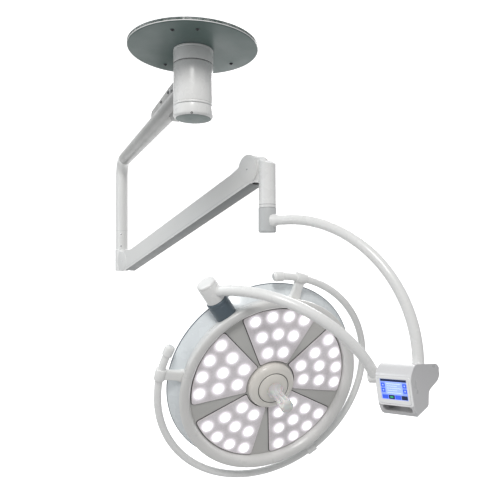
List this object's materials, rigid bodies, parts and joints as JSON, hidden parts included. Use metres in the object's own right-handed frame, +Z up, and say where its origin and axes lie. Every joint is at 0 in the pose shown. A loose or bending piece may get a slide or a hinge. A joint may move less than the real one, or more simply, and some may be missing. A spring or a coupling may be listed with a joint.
{
  "type": "dental operating light",
  "caption": "Ceiling-hung dental operating light: swinging extension arm, balanced spring arm, two curved bows, touch console and a round segmented LED head with a grab rail.",
  "frame": {"origin": "middle of the ceiling face of the suspension tube and cover plate", "axes": "+Z up out of the ceiling face; the lamp face looks roughly towards -Y at rest"},
  "size_m": [1.0865, 1.2091, 1.1925],
  "materials": {
    "white_paint": "satin powder coat",
    "satin_paint": "satin powder coat",
    "grey_paint": "satin powder coat",
    "plate_paint": "satin powder coat",
    "band_paint": "moulded band, satin gloss",
    "head_plastic": "moulded shell, satin gloss",
    "face_panel": "fine moulded texture",
    "slate_paint": "satin lacquer",
    "under_plastic": "fine moulded texture",
    "bright_steel": "turned steel",
    "dark_steel": "blackened steel",
    "sink_aluminium": "raw aluminium",
    "console_plastic": "moulded, satin gloss",
    "hub_plastic": "moulded, satin gloss",
    "handle_clear": "frosted clear moulding",
    "board": "solder mask",
    "screen_glass": "lit display under smooth glass",
    "led_lens": "clear moulded lens, lit"
  },
  "bodies": {
    "ceiling": {"ceiling_cover_plate": "plate_paint", "plate_screw_1": "bright_steel", "plate_screw_2": "bright_steel", "plate_screw_3": "bright_steel", "plate_screw_4": "bright_steel", "suspension_tube": "bright_steel", "upper_collar": "white_paint", "hub_bearing_upper": "bright_steel", "hub_bearing_lower": "bright_steel", "lower_cap": "white_paint"},
    "extension_arm": {"hub_sleeve": "white_paint", "root_bracket": "grey_paint", "bracket_bolt": "bright_steel", "bracket_screw_1": "dark_steel", "bracket_screw_2": "dark_steel", "arm_tube": "satin_paint", "drop_spindle": "bright_steel"},
    "elbow": {"elbow_housing": "white_paint", "elbow_bearing": "bright_steel", "lower_pivot_pin": "bright_steel"},
    "spring_arm": {"spring_arm_shell": "satin_paint", "under_cover": "under_plastic", "arm_beam": "bright_steel", "spring_rod": "bright_steel", "balance_spring": "bright_steel"},
    "parallel_link": {"link_rod": "bright_steel"},
    "knuckle": {"knuckle_body": "white_paint", "upper_pivot_pin": "bright_steel", "yaw_bearing": "bright_steel"},
    "first_bow": {"yaw_sleeve": "grey_paint", "bow_1_tube": "white_paint", "console_shell": "console_plastic", "console_bezel": "console_plastic", "touch_display": "screen_glass", "control_board": "board"},
    "second_bow": {"roll_hub": "white_paint", "bow_2_tube": "white_paint", "tilt_sleeve": "white_paint", "tilt_bearing": "bright_steel", "tilt_cap": "white_paint"},
    "lamp_head": {"tilt_collar": "slate_paint", "head_back_cover": "head_plastic", "side_band": "band_paint", "front_rim": "head_plastic", "face_plate": "face_panel", "heat_sink": "sink_aluminium", "led_module_1": "led_lens", "led_module_2": "led_lens", "led_module_3": "led_lens", "led_module_4": "led_lens", "led_module_5": "led_lens", "handle_hub": "hub_plastic", "grab_rail": "white_paint", "rail_cap_1": "white_paint", "rail_cap_2": "white_paint", "rail_bracket_1": "white_paint", "rail_bracket_2": "white_paint", "rail_bracket_3": "white_paint"},
    "focus_handle": {"sterile_handle": "handle_clear"}
  },
  "joints": [
    {"name": "ceiling_swing", "type": "hinge", "parent": "ceiling", "child": "extension_arm", "pos_m": [0, 0, -0.0945], "axis": [0, 0, 1], "range_deg": [-160, 160]},
    {"name": "elbow_swing", "type": "hinge", "parent": "extension_arm", "child": "elbow", "pos_m": [-0.43964, 1.02576, -0.5], "axis": [0, 0, 1], "range_deg": [-5, 140]},
    {"name": "arm_lift", "type": "hinge", "parent": "elbow", "child": "spring_arm", "pos_m": [-0.4002, 0.97791, -0.5336], "axis": [-0.7716, -0.6361, 0], "range_deg": [-58, 6]},
    {"name": "link_swing", "type": "hinge", "parent": "elbow", "child": "parallel_link", "pos_m": [-0.4002, 0.97791, -0.5556], "axis": [-0.7716, -0.6361, 0], "range_deg": [-58, 6]},
    {"name": "knuckle_level", "type": "hinge", "parent": "spring_arm", "child": "knuckle", "pos_m": [0.1488, 0.31192, -0.24397], "axis": [-0.7716, -0.6361, 0], "range_deg": [-6, 58]},
    {"name": "first_bow_swing", "type": "hinge", "parent": "knuckle", "child": "first_bow", "pos_m": [0.18696, 0.26563, -0.4], "axis": [0, 0, 1], "range_deg": [-170, 170]},
    {"name": "second_bow_roll", "type": "hinge", "parent": "first_bow", "child": "second_bow", "pos_m": [0.18294, 0.26561, -0.86177], "axis": [0.8132, -0.561, 0.1547], "range_deg": [-90, 120]},
    {"name": "head_tilt", "type": "hinge", "parent": "second_bow", "child": "lamp_head", "pos_m": [0.18294, 0.26561, -0.86177], "axis": [-0.4448, -0.4277, 0.7869], "range_deg": [-38, 115]},
    {"name": "focus_turn", "type": "hinge", "parent": "lamp_head", "child": "focus_handle", "pos_m": [0.19481, 0.2549, -0.87677], "axis": [0.3503, -0.8917, -0.2866], "range_deg": [-60, 60]}
  ],
  "couplings": [
    {"joint": "link_swing", "follows": "arm_lift", "ratio": 1},
    {"joint": "knuckle_level", "follows": "arm_lift", "ratio": -1}
  ]
}
